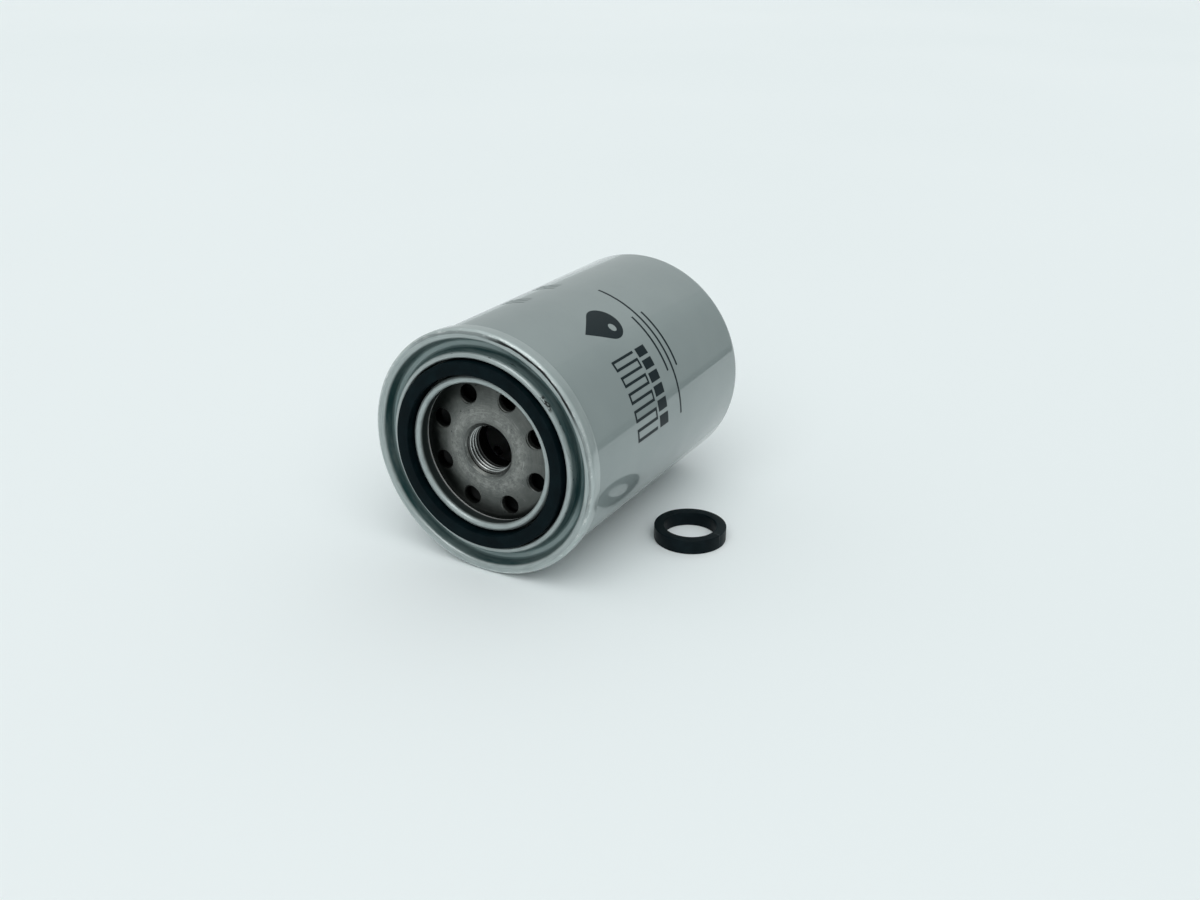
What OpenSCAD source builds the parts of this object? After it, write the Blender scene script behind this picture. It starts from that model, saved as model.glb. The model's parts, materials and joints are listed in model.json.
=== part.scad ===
// Spin-on oil filter lying on its side, with its spare stud seal flat beside it.
//
// Row frame: the origin is on the filter's axis, where the thread begins. The
// threaded end faces -Y, +Z is up, and the floor is at z = -rim_d / 2.
// Every filter piece is drawn standing on its closed end, threaded end up, and
// lay() turns it down: local +z becomes -Y, local x stays X, local y becomes Z.

/* [Can] */
// Diameter over the rolled seam, mm
rim_d = 93; // [91:0.5:96]
// Length from the seam's front edge to the closed end, mm
body_len = 123.2; // [115:0.2:160]
// How far the seam stands out from the can's wall, mm
seam_step = 1.22; // [1.2:0.01:1.3]
// Sheet thickness of the can, mm
can_wall = 0.5; // [0.4:0.05:0.5]
// Outer radius of the closed end's corner, mm
end_corner_r = 5.7; // [3:0.1:8]
// Depth of the round panel pressed into the closed end, mm
end_panel_depth = 1.2; // [0.5:0.1:2]

/* [Seaming lid] */
// Sheet thickness of the lid, mm
lid_wall = 0.75; // [0.6:0.05:0.75]
// Length of the rolled seam along the axis, mm
seam_len = 5.8; // [5.4:0.1:6]
// Depth of the gasket groove below the seam's front edge, mm
groove_depth = 4.6; // [4:0.1:4.8]
// Outer diameter of the inner lip round the base plate, mm
lip_d = 58.84; // [58:0.02:59]

/* [Outer gasket] */
// Outer diameter of the gasket, mm
gasket_d = 70.2; // [69.8:0.1:71]
// Radial width of the gasket's section, mm
gasket_w = 4.75; // [4:0.05:4.9]
// Height of the gasket above the seam's front edge, mm
gasket_proud = 2.07; // [1:0.01:3]

/* [Base plate] */
// Major diameter of the stud thread (3/4-16 UNF), mm
thread_d = 19.05; // [17:0.05:20]
// Length of thread in the base plate, mm
thread_len = 12; // [11:0.5:14]
// Distance from the seam's front edge back to the first thread, mm
thread_depth = 6; // [5.8:0.1:6.2]
// Thickness of the base plate, mm
plate_t = 3.2; // [2.5:0.1:3.5]
// Number of oil inlet holes
inlet_count = 8; // [4:1:10]
// Diameter of each inlet hole, mm
inlet_d = 7; // [5:0.1:7.4]
// Diameter of the circle through the inlet holes, mm
inlet_circle_d = 43.2; // [42:0.1:44]

/* [Filter element] */
// Diameter of the element's end caps, mm
element_d = 76; // [70:0.5:80]
// Number of paper pleats
pleat_count = 44; // [30:1:48]
// Thickness of the pleated paper, mm
paper_t = 0.6; // [0.4:0.05:0.7]
// Diameter of the perforated centre tube, mm
tube_d = 31; // [30.6:0.1:32]
// Diameter of the centre tube's holes, mm
tube_hole_d = 4; // [2:0.5:5]
// Height of the support spring behind the element, mm
support_spring_h = 15; // [12:0.5:20]

/* [Bypass valve] */
// Diameter of the bypass port in the rear end cap, mm
bypass_port_d = 16; // [12:0.5:16]
// Diameter of the bypass valve's disc, mm
poppet_d = 18.6; // [18:0.1:19]
// Length of the bypass valve's cage, mm
cage_len = 18; // [16:0.5:24]

/* [Stud seal] */
// Outer diameter of the stud seal, mm
stud_seal_d = 27.9; // [26:0.1:30]
// Hole diameter of the stud seal, mm
stud_seal_hole_d = 20.2; // [19.2:0.1:22]
// Height of the stud seal, mm
stud_seal_h = 5.56; // [3:0.02:7]
// Sideways distance from the filter's axis to the stud seal, mm
stud_seal_x = 53.8; // [50:0.1:80]
// Distance from the first thread back to the stud seal, mm
stud_seal_y = 56.1; // [20:0.1:110]

/* [Side print] */
// Angle of the print's middle above the horizontal, degrees
print_angle = 40.5; // [0:0.5:90]
// Width of the print across the can, mm
print_w = 56; // [40:1:60]
// Height of the print along the can, mm
print_h = 38; // [30:1:50]
// Distance from the seam's front edge to the print, mm
print_start = 34.4; // [20:0.2:60]

/* [Display] */

/* [Hidden] */

$fn = 96;
arc_steps = 8;
gap = 0.05;

// Radii and levels of the can and its seam. Levels are local z, zero at the first thread.
rim_r = rim_d / 2;
can_r = rim_r - seam_step;
rim_z = thread_depth;
end_z = rim_z - body_len;
seam_z = rim_z - seam_len;
seam_edge_r = 1.6;
chuck_inset = 3.8;
chuck_r = rim_r - chuck_inset;
chuck_edge_r = 1.2;
hook_gap = 0.1;
hook_play = 0.15;
cover_hook_drop = 2.1;
body_hook_lift = 1.4;
body_hook_bend_r = 0.55;
neck_in_r = chuck_r + lid_wall + hook_gap;
neck_out_r = neck_in_r + can_wall;
cover_hook_r = neck_out_r + hook_play;
seam_bend_r = (rim_r - cover_hook_r) / 2;
cover_hook_z = rim_z - cover_hook_drop;
body_hook_z = rim_z - lid_wall - hook_gap;
body_hook_out_r = rim_r - lid_wall - hook_play;
shoulder_z = seam_z - hook_gap;
shoulder_r = 0.5;
end_panel_r = 26;
end_panel_slope = 3;

// The lid's gasket groove, outer bead and inner lip.
lip_span = 2.78;
lip_flare = 0.56;
lip_drop = 0.2;
lip_out_r = lip_d / 2;
lip_in_r = lip_out_r - lip_span;
lip_foot_r = lip_in_r + lip_flare;
lip_foot_z = -0.5;
lip_top_z = rim_z - lip_drop;
lip_bend_r = (lip_out_r - lip_in_r) / 2;
groove_z = rim_z - groove_depth;
groove_w = 6.45;
groove_out_r = lip_out_r + groove_w;
groove_fillet = 0.5;
bead_proud = 0.15;
bead_top_z = rim_z + bead_proud;
bead_in_edge = 0.65;
bead_out_edge = 1.3;
bead_flat = 0.1;
channel_inset = 2.35;
channel_flat = 0.9;
channel_r = chuck_r - channel_inset;
channel_fillet = 0.9;
channel_slope = 28;
chuck_slope = 28;

// The base plate: flat outer land, pressed bead under the lip, shallow cone up to the hub.
thread_r = thread_d / 2;
hub_z = 0.9;
hub_r = 13.6;
hub_edge = 0.6;
plate_inset = 1.3;
plate_r = chuck_r - plate_inset;
land_z = groove_z - lid_wall - gap;
cone_drop = 0.15;
plate_bead_z = lip_foot_z - 0.2;
plate_bead_in_r = lip_in_r - 0.6;
plate_bead_out_r = lip_out_r - 0.8;
land_r = lip_out_r + 0.4;
boss_wall = 3.475;
boss_r = thread_r + boss_wall;
boss_fillet = 2.2;
plate_back_z = plate_bead_z - plate_t + cone_drop;

// The element, from its front cap at element_z to its rear cap.
cap_t = 0.5;
cap_skirt = 4.5;
adhesive_t = 2.5;
element_z = -thread_len - 1;
element_r = element_d / 2;
cap_skirt_t = 0.4;
can_floor_z = end_z + end_panel_depth + can_wall;
rear_cap_z = can_floor_z + support_spring_h;
media_front_z = element_z - cap_t - adhesive_t;
media_rear_z = rear_cap_z + cap_t + adhesive_t;
media_len = media_front_z - media_rear_z;
tube_r = tube_d / 2;
tube_wall = 0.5;
tube_rows = 9;
tube_columns = 8;
media_in_r = tube_r + 1.3;
media_out_r = element_r - 1;
fold_out_w = 0.9;
fold_in_w = 0.75;
cap_neck_r = tube_r - tube_wall - 0.3;
cap_neck_len = 5.5;
clip_depth = 6;
clip_t = 0.3;
clip_w = fold_out_w + 0.12;

// The bypass valve inside the rear end of the centre tube.
port_r = bypass_port_d / 2;
poppet_r = poppet_d / 2;
poppet_t = 1.2;
seat_t = 0.6;
seat_z = rear_cap_z + cap_t;
poppet_z = seat_z + seat_t + 0.02;
cage_r = poppet_r + 1.5;
cage_wall = 0.4;
cage_flange_r = cap_neck_r;
cage_top_z = seat_z + cage_len;
cage_windows = 4;
cage_window_w = 7;
cage_guide_r = 2.8;
stem_r = 2.4;
stem_len = cage_len + 1;
bypass_coil_r = 5.5;
bypass_wire_r = 0.5;
bypass_turns = 7;

// The support spring between the rear cap and the can's floor.
support_coil_r = 17;
support_wire_r = 1.25;
support_turns = 3.5;
locator_r = 14.6;

// The drain-back valve, clamped between the boss and the front end cap.
flap_reach = 5.6;
flap_r = inlet_circle_d / 2 + flap_reach;
flap_t = 1.2;
flap_root_z = -thread_len + 1.6;
sleeve_t = 1.7;
sleeve_len = 6;
washer_lip = 1.7;

// The printed panel.
ink_t = 0.05;
print_line = 1;
print_gap = 1.4;
print_folds = 5;
print_blocks = 6;
print_z = rim_z - print_start - print_h / 2;

// Two small groups of bars on the can's top.
batch_angle = 104;
batch_w = 10;
batch_line = 0.7;
batch_pitch = 2.4;
batch_levels = [11, -10];

paint_grey = [0.60, 0.64, 0.63];
steel_grey = [0.55, 0.54, 0.52];
tin_grey = [0.70, 0.71, 0.72];
rubber_black = [0.06, 0.07, 0.08];
paper_buff = [0.80, 0.68, 0.42];
resin_grey = [0.35, 0.36, 0.38];
ink_dark = [0.10, 0.14, 0.16];
nylon_black = [0.14, 0.14, 0.15];

module lay() {
  rotate([90, 0, 0]) children();
}

// Ring section between two radii and two levels.
module band(r0, r1, z0, z1) {
  translate([r0, z0]) square([r1 - r0, z1 - z0]);
}

// Points of an arc from angle a0 to a1.
function arc(x, z, r, a0, a1) =
  [for (i = [0:arc_steps]) let (a = a0 + (a1 - a0) * i / arc_steps) [x + r * cos(a), z + r * sin(a)]];

function reversed(p) = [for (i = [len(p) - 1:-1:0]) p[i]];

// Unit vector to the right of the step from a to b.
function right_of(a, b) = let (d = (b - a) / norm(b - a)) [d[1], -d[0]];

// The path shifted to its right by t, with mitred corners.
function shifted(p, t) = [
  for (i = [0:len(p) - 1])
    let (
      before = i == 0 ? right_of(p[0], p[1]) : right_of(p[i - 1], p[i]),
      after = i == len(p) - 1 ? before : right_of(p[i], p[i + 1])
    )
    p[i] + t * (before + after) / (1 + before * after)
];

// A sheet of thickness t whose visible face follows the path.
module sheet(path, t) {
  polygon(concat(path, reversed(shifted(path, t))));
}

module can() {
  outside = concat(
    [[0, end_z + end_panel_depth]],
    [[end_panel_r, end_z + end_panel_depth]],
    [[end_panel_r + end_panel_slope, end_z]],
    arc(can_r - end_corner_r, end_z + end_corner_r, end_corner_r, -90, 0),
    arc(can_r - shoulder_r, shoulder_z - shoulder_r, shoulder_r, 0, 90)
  );
  inside = concat(
    [[0, can_floor_z]],
    [[end_panel_r, can_floor_z]],
    [[end_panel_r + end_panel_slope, end_z + can_wall]],
    arc(can_r - end_corner_r, end_z + end_corner_r, end_corner_r - can_wall, -90, 0),
    [[can_r - can_wall, shoulder_z - can_wall]],
    [[neck_in_r, shoulder_z - can_wall]]
  );
  bend_z = body_hook_z - body_hook_bend_r;
  hook = concat(
    [[neck_in_r, shoulder_z]],
    arc(neck_in_r + body_hook_bend_r, bend_z, body_hook_bend_r, 180, 90),
    arc(body_hook_out_r - body_hook_bend_r, bend_z, body_hook_bend_r, 90, 0),
    [[body_hook_out_r, seam_z + body_hook_lift]]
  );
  color(paint_grey) lay() rotate_extrude()
    polygon(concat(outside, shifted(hook, can_wall), reversed(hook), reversed(inside)));
}

module seaming_lid() {
  bead_mid_r = groove_out_r + bead_in_edge + bead_flat;
  path = concat(
    [[lip_foot_r, lip_foot_z]],
    arc(lip_in_r + lip_bend_r, lip_top_z - lip_bend_r, lip_bend_r, 180, 0),
    arc(lip_out_r + groove_fillet, groove_z + groove_fillet, groove_fillet, 180, 270),
    arc(groove_out_r - groove_fillet, groove_z + groove_fillet, groove_fillet, 270, 360),
    arc(groove_out_r + bead_in_edge, bead_top_z - bead_in_edge, bead_in_edge, 180, 90),
    arc(bead_mid_r, bead_top_z - bead_out_edge, bead_out_edge, 90, channel_slope),
    arc(channel_r - channel_flat / 2, groove_z + channel_fillet, channel_fillet, 180 + channel_slope, 270),
    arc(channel_r + channel_flat / 2, groove_z + channel_fillet, channel_fillet, 270, 360 - chuck_slope),
    arc(chuck_r + chuck_edge_r, rim_z - chuck_edge_r, chuck_edge_r, 180 - chuck_slope, 90),
    arc(rim_r - seam_edge_r, rim_z - seam_edge_r, seam_edge_r, 90, 0),
    arc(rim_r - seam_bend_r, seam_z + seam_bend_r, seam_bend_r, 0, -180),
    [[cover_hook_r, cover_hook_z]]
  );
  color(paint_grey) lay() rotate_extrude() sheet(path, lid_wall);
}

// Lining compound squeezed into the fold of the seam.
module seam_compound() {
  outer_r = body_hook_out_r - can_wall - gap;
  top = body_hook_z - can_wall - gap;
  color(resin_grey) lay() rotate_extrude() band(neck_out_r + gap, outer_r, cover_hook_z + gap, top);
}

module base_plate() {
  cone_foot_z = plate_bead_z + cone_drop;
  profile = concat(
    [[thread_r, -thread_len], [thread_r, 0], [thread_r + hub_z, hub_z]],
    arc(hub_r - hub_edge, hub_z - hub_edge, hub_edge, 90, 20),
    [[plate_bead_in_r, cone_foot_z], [plate_bead_in_r + 0.4, plate_bead_z]],
    [[plate_bead_out_r, plate_bead_z], [land_r, land_z]],
    [[plate_r, land_z], [plate_r, land_z - plate_t]],
    [[land_r + 1, land_z - plate_t], [plate_bead_out_r + 0.8, plate_back_z]],
    [[plate_bead_in_r - 0.5, plate_back_z]],
    arc(boss_r + boss_fillet, hub_z - plate_t - boss_fillet, boss_fillet, 90, 180),
    [[boss_r, -thread_len]]
  );
  color(steel_grey) lay() difference() {
    rotate_extrude() polygon(profile);
    for (i = [0:inlet_count - 1])
      rotate([0, 0, (i + 0.5) * 360 / inlet_count])
        translate([inlet_circle_d / 2, 0, -2 * plate_t])
          cylinder(h = 3 * plate_t, d = inlet_d);
  }
}

module outer_gasket() {
  r1 = gasket_d / 2;
  r0 = r1 - gasket_w;
  top = rim_z + gasket_proud;
  edge = 0.3;
  color(rubber_black) lay() rotate_extrude() polygon([
    [r0, groove_z + gap],
    [r1, groove_z + gap],
    [r1, top - edge],
    [r1 - edge, top],
    [r0 + edge, top],
    [r0, top - edge]
  ]);
}

// Moulded rubber valve: a flap over the inlet holes, a sleeve round the boss and a
// washer that seals the boss to the element.
module drainback_valve() {
  sleeve_r = boss_r + gap + sleeve_t;
  lip_z = plate_back_z - 0.1;
  color(rubber_black) lay() rotate_extrude() {
    band(thread_r + 1.1, sleeve_r + washer_lip, element_z + gap, -thread_len - gap);
    band(boss_r + gap, sleeve_r, -thread_len - gap - 0.2, sleeve_len - thread_len);
    polygon([
      [sleeve_r - 0.4, flap_root_z],
      [flap_r - 1, lip_z - 1],
      [flap_r, lip_z - 0.7],
      [flap_r, lip_z],
      [flap_r - 1.4, lip_z],
      [sleeve_r - 0.4, flap_root_z + flap_t]
    ]);
  }
}

module front_end_cap() {
  color(tin_grey) lay() rotate_extrude() {
    band(cap_neck_r - cap_skirt_t, element_r, element_z - cap_t, element_z);
    band(element_r - cap_skirt_t, element_r, element_z - cap_skirt, element_z);
    band(cap_neck_r - cap_skirt_t, cap_neck_r, element_z - cap_neck_len, element_z);
  }
}

module adhesive_disc(z) {
  color(resin_grey) lay() rotate_extrude()
    band(tube_r + gap, element_r - cap_skirt_t - gap, z, z + adhesive_t);
}

module front_adhesive() {
  adhesive_disc(media_front_z);
}

module rear_adhesive() {
  adhesive_disc(media_rear_z - adhesive_t);
}

function polar(r, a) = [r * cos(a), r * sin(a)];

// One closed edge of the pleated paper: folds of half-width w at the radii r_out and r_in.
function pleat_edge(r_out, w_out, r_in, w_in) = [
  for (i = [0:pleat_count - 1], side = [-1, 1, -2, 2])
    let (
      middle = i * 360 / pleat_count,
      half = 180 / pleat_count,
      at_tip = abs(side) == 1,
      r = at_tip ? r_out : r_in,
      swing = asin((at_tip ? w_out : w_in) / r)
    )
    polar(r, at_tip ? middle + side * swing : middle + half + side / 2 * swing)
];

module pleated_media() {
  color(paper_buff) lay() translate([0, 0, media_rear_z]) linear_extrude(media_len) difference() {
    polygon(pleat_edge(media_out_r, fold_out_w, media_in_r + paper_t, fold_in_w - paper_t));
    polygon(pleat_edge(media_out_r - paper_t, fold_out_w - paper_t, media_in_r, fold_in_w));
  }
}

// Folded strip that grips the pleat where the paper's two ends meet.
module media_seam_clip() {
  strip_r = media_out_r - clip_depth;
  outer_w = clip_w + clip_t;
  color(tin_grey) lay() translate([strip_r, 0, media_rear_z + 0.2]) difference() {
    translate([0, -outer_w, 0]) cube([clip_depth + clip_t + gap, 2 * outer_w, media_len - 0.4]);
    translate([-1, -clip_w, -1]) cube([clip_depth + 1 + gap, 2 * clip_w, media_len + 2]);
  }
}

module centre_tube() {
  tube_len = element_z - rear_cap_z - 2 * cap_t - 2 * gap;
  row_pitch = (media_len - 10) / (tube_rows - 1);
  turn = 360 / tube_columns;
  color(tin_grey) lay() difference() {
    translate([0, 0, rear_cap_z + cap_t + gap]) difference() {
      cylinder(h = tube_len, r = tube_r);
      translate([0, 0, -1]) cylinder(h = tube_len + 2, r = tube_r - tube_wall);
    }
    for (row = [0:tube_rows - 1], column = [0:tube_columns - 1])
      translate([0, 0, media_rear_z + 5 + row * row_pitch])
        rotate([0, 90, (column + (row % 2) / 2) * turn])
          translate([0, 0, tube_r - 2 * tube_wall])
            cylinder(h = 3 * tube_wall, d = tube_hole_d);
  }
}

module rear_end_cap() {
  color(tin_grey) lay() rotate_extrude() {
    band(port_r, element_r, rear_cap_z, rear_cap_z + cap_t);
    band(element_r - cap_skirt_t, element_r, rear_cap_z, rear_cap_z + cap_skirt);
    band(locator_r - 1, locator_r, rear_cap_z - 1, rear_cap_z);
  }
}

module bypass_cage() {
  color(tin_grey) lay() difference() {
    rotate_extrude() {
      band(cage_r - cage_wall, cage_flange_r, seat_z + gap, seat_z + gap + cage_wall);
      band(cage_r - cage_wall, cage_r, seat_z + gap, cage_top_z);
      band(cage_guide_r, cage_r, cage_top_z - cage_wall, cage_top_z);
    }
    for (i = [0:cage_windows - 1])
      rotate([0, 0, i * 360 / cage_windows])
        translate([cage_r / 2, -cage_window_w / 2, seat_z + 5])
          cube([cage_r, cage_window_w, cage_len - 8]);
  }
}

module bypass_seat() {
  color(rubber_black) lay() rotate_extrude() band(port_r - 0.2, poppet_r + 0.5, seat_z, seat_z + seat_t);
}

module bypass_poppet() {
  color(nylon_black) lay() translate([0, 0, poppet_z]) {
    cylinder(h = poppet_t, r = poppet_r);
    cylinder(h = stem_len, r = stem_r);
  }
}

// How far a coil has climbed after t turns: its first and last turns are closed, one
// wire's thickness d each, and the open turns between share the rest of the rise.
function climbed(t, turns, rise, d) =
  t < 1 ? d * t
  : t > turns - 1 ? rise - d * (turns - t)
  : d + (rise - 2 * d) * (t - 1) / (turns - 2);

// A round wire wound between the levels z0 and z1.
module coil(coil_r, wire_r, z0, z1, turns) {
  sides = 10;
  per_turn = 30;
  steps = turns * per_turn;
  rise = z1 - z0 - 2 * wire_r;
  points = [
    for (i = [0:steps], k = [0:sides - 1])
      let (
        a = i * 360 / per_turn,
        b = k * 360 / sides,
        r = coil_r + wire_r * cos(b),
        z = z0 + wire_r + climbed(i / per_turn, turns, rise, 2 * wire_r + gap) + wire_r * sin(b)
      )
      [r * cos(a), r * sin(a), z]
  ];
  walls = [
    for (i = [0:steps - 1], k = [0:sides - 1])
      let (n = (k + 1) % sides)
      [i * sides + k, i * sides + n, (i + 1) * sides + n, (i + 1) * sides + k]
  ];
  start = [for (k = [sides - 1:-1:0]) k];
  finish = [for (k = [0:sides - 1]) steps * sides + k];
  polyhedron(points, concat(walls, [start, finish]), convexity = 10);
}

module bypass_spring() {
  color(steel_grey) lay()
    coil(bypass_coil_r, bypass_wire_r, poppet_z + poppet_t, cage_top_z - cage_wall, bypass_turns);
}

module support_spring() {
  color(steel_grey) lay()
    coil(support_coil_r, support_wire_r, can_floor_z, rear_cap_z, support_turns);
}

// Spare square-section seal for the stud, flat on the floor beside the can.
module stud_seal() {
  edge = 0.25;
  r0 = stud_seal_hole_d / 2;
  r1 = stud_seal_d / 2;
  color(rubber_black) translate([stud_seal_x, stud_seal_y, -rim_r]) rotate_extrude() polygon([
    [r0 + edge, 0],
    [r1 - edge, 0],
    [r1, edge],
    [r1, stud_seal_h - edge],
    [r1 - edge, stud_seal_h],
    [r0 + edge, stud_seal_h],
    [r0, stud_seal_h - edge],
    [r0, edge]
  ]);
}

// A line of even width along the path.
module stroke(path, w) {
  polygon(concat(shifted(path, -w / 2), reversed(shifted(path, w / 2))));
}

// Pleated paper drawn as one folded line.
module pleat_sign(w, h) {
  step = (w - print_line) / (2 * print_folds - 1);
  fold_h = h - print_line;
  path = [for (i = [0:2 * print_folds - 1], k = [0:1]) [i * step, (i + k) % 2 * fold_h]];
  translate([print_line / 2, print_line / 2]) stroke(path, print_line);
}

// An oil drop with its point up.
module drop(r) {
  lift = 30;
  polygon(concat(arc(0, 0, r, lift, -90), arc(0, 0, r, -90, -180 - lift), [[0, r / sin(lift)]]));
}

// Pleats over a row of blocks, an oil drop beside them, and three plain lines below.
module print_artwork() {
  sign_w = 0.52 * print_w;
  sign_h = 0.41 * print_h;
  block_h = 0.17 * print_h;
  block_pitch = (sign_w + print_gap) / print_blocks;
  drop_r = 0.19 * print_h;
  rule_pitch = 0.095 * print_h;
  left = -print_w / 2;
  top = print_h / 2;
  translate([left, top - sign_h]) pleat_sign(sign_w, sign_h);
  for (i = [0:print_blocks - 1])
    translate([left + i * block_pitch, top - sign_h - print_gap - block_h])
      square([block_pitch - print_gap, block_h]);
  translate([sign_w / 2, top - 2 * drop_r]) difference() {
    drop(drop_r);
    translate([-drop_r / 3, -drop_r / 6]) circle(r = drop_r / 4);
  }
  for (i = [0:2])
    let (rule_w = print_w * (i == 1 ? 1 : 0.43))
      translate([-rule_w / 2, i * rule_pitch - top]) square([rule_w, print_line]);
}

module batch_artwork() {
  for (level = batch_levels, i = [-1:1])
    translate([-batch_w / 2, level + i * batch_pitch]) square([batch_w, batch_line]);
}

// Wraps flat artwork on the can's side at an angle above the horizontal.
module printed(angle) {
  rotate([0, 0, angle]) intersection() {
    translate([0, 0, print_z - print_h]) rotate([0, 0, 180]) difference() {
      cylinder(h = 2 * print_h, r = can_r + 0.01 + ink_t);
      translate([0, 0, -1]) cylinder(h = 2 * print_h + 2, r = can_r + 0.01);
    }
    translate([0, 0, print_z]) rotate([90, 0, 90]) linear_extrude(rim_d) children();
  }
}

module side_print() {
  color(ink_dark) lay() {
    printed(print_angle) print_artwork();
    printed(batch_angle) batch_artwork();
  }
}

can();
side_print();
seaming_lid();
seam_compound();
base_plate();
outer_gasket();
drainback_valve();
front_end_cap();
front_adhesive();
pleated_media();
media_seam_clip();
centre_tube();
rear_adhesive();
rear_end_cap();
bypass_cage();
bypass_seat();
bypass_poppet();
bypass_spring();
support_spring();
stud_seal();
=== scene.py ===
"""Looks of the spin-on oil filter: painted can and lid, machined base plate, rubber seals and the print.

The frame is the CAD's: metres, origin at the first thread, threaded end towards -Y, +Z up. Outlines are in
millimetres as (radius, level), and a level is measured from the first thread towards the threaded end.
"""

import json
import math

import bmesh
import bpy
import numpy as np
from mathutils import Matrix, Vector, noise


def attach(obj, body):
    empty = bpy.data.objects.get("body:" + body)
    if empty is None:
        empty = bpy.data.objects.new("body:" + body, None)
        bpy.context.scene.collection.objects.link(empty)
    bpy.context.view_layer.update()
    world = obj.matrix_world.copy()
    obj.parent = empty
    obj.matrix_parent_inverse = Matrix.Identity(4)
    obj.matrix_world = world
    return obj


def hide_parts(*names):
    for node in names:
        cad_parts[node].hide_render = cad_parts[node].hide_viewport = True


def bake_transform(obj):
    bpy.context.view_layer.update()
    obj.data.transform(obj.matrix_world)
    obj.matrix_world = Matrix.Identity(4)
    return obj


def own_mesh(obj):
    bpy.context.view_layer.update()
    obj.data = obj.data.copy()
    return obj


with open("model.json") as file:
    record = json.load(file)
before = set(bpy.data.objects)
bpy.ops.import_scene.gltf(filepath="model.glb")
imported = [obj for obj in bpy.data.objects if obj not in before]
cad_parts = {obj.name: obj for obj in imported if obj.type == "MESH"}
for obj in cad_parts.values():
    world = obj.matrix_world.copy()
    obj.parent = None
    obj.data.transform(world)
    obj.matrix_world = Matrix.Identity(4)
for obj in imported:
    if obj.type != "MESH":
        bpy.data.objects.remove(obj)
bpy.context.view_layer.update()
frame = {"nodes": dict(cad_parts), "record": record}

MM = 0.001
NEAR_AXIS = 0.01 * MM

# ---------------------------------------------------------------- sizes, mm

RIM_R = 46.5
RIM_Z = 6.0
CAN_R = 45.28
END_Z = -117.2
CAN_WALL = 0.5
END_CORNER_R = 5.7
END_PANEL_R = 26.0
END_PANEL_DEPTH = 1.2
LID_WALL = 0.75
SEAM_Z = 0.2
CHUCK_R = 42.7
NECK_IN_R = 43.55
COVER_HOOK_R = 44.2
COVER_HOOK_Z = 3.9
BODY_HOOK_R = 45.6
BODY_HOOK_Z = 5.15
SHOULDER_Z = 0.1
GROOVE_Z = 1.4
GROOVE_OUT_R = 35.87
LIP_OUT_R = 29.42
LIP_IN_R = 26.64
LIP_TOP_Z = 5.8
GASKET_IN_R = 30.35
GASKET_OUT_R = 35.1
GASKET_TOP_Z = 8.07
PLATE_R = 41.4
PLATE_T = 3.2
HUB_R = 13.6
HUB_Z = 0.9
LAND_Z = 0.6
BEAD_Z = -0.7
THREAD_R = 9.525
THREAD_TIP_R = 8.72
THREAD_PITCH = 25.4 / 16
THREAD_LEN = 12.0
BOSS_R = 13.0
INLET_COUNT = 8
INLET_R = 3.5
INLET_CIRCLE_R = 21.6
SEAL_IN_R = 10.1
SEAL_OUT_R = 13.95
SEAL_H = 5.56
SEAL_X = 53.8
SEAL_Y = 56.1
FLOOR_Z = -RIM_R
PRINT_ANGLE = 40.5
PRINT_W = 56.0
PRINT_H = 38.0
PRINT_START = 34.4
BATCH_ANGLE = 104.0
INK_TOP = 0.055
INK_BOTTOM = 0.015

# ---------------------------------------------------------------- outlines


def arc(r, z, radius, start, end, steps=14):
    """Points of an arc round (r, z) from one angle to another, in degrees."""
    angles = np.radians(np.linspace(start, end, steps + 1))
    return [(r + radius * math.cos(a), z + radius * math.sin(a)) for a in angles]


def rounded(corners, steps=8):
    """A path whose corners are (r, z) or (r, z, radius), each rounded by its radius."""
    path = []
    for i, corner in enumerate(corners):
        p = Vector(corner[:2])
        radius = corner[2] if len(corner) > 2 else 0
        if radius == 0 or i in (0, len(corners) - 1):
            path.append(tuple(p))
            continue
        to_last = (Vector(corners[i - 1][:2]) - p).normalized()
        to_next = (Vector(corners[i + 1][:2]) - p).normalized()
        half = to_last.angle(to_next) / 2
        middle = p + (to_last + to_next).normalized() * radius / math.sin(half)
        first = p + to_last * radius / math.tan(half) - middle
        last = p + to_next * radius / math.tan(half) - middle
        turn = first.angle_signed(last)
        for k in range(steps + 1):
            a = -turn * k / steps
            path.append(tuple(middle + Matrix.Rotation(a, 2) @ first))
    return path


def rounded_loop(corners, steps=8):
    """A closed outline with the same corners."""
    start = ((Vector(corners[0][:2]) + Vector(corners[-1][:2])) / 2).to_tuple()
    return rounded([start] + list(corners) + [start], steps)[:-1]


def right_of(a, b):
    d = (Vector(b) - Vector(a)).normalized()
    return Vector((d.y, -d.x))


def shifted(path, t):
    """The path moved to its right by t, with mitred corners."""
    clean = [path[0]] + [p for q, p in zip(path, path[1:]) if (Vector(p) - Vector(q)).length > 1e-6]
    moved = []
    for i, p in enumerate(clean):
        after = right_of(*clean[i : i + 2]) if i < len(clean) - 1 else right_of(*clean[i - 1 : i + 1])
        before = right_of(*clean[i - 1 : i + 1]) if i else after
        moved.append(tuple(Vector(p) + (before + after) * t / (1 + before.dot(after))))
    return clean, moved


def sheet(path, t):
    """Closed outline of a sheet of thickness t whose visible face follows the path."""
    face, back = shifted(path, t)
    return face + back[::-1]


# ---------------------------------------------------------------- meshes


def lying(x, y, z):
    """Lays a point that stands on Z down on the filter's axis."""
    return x, -z, y


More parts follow.
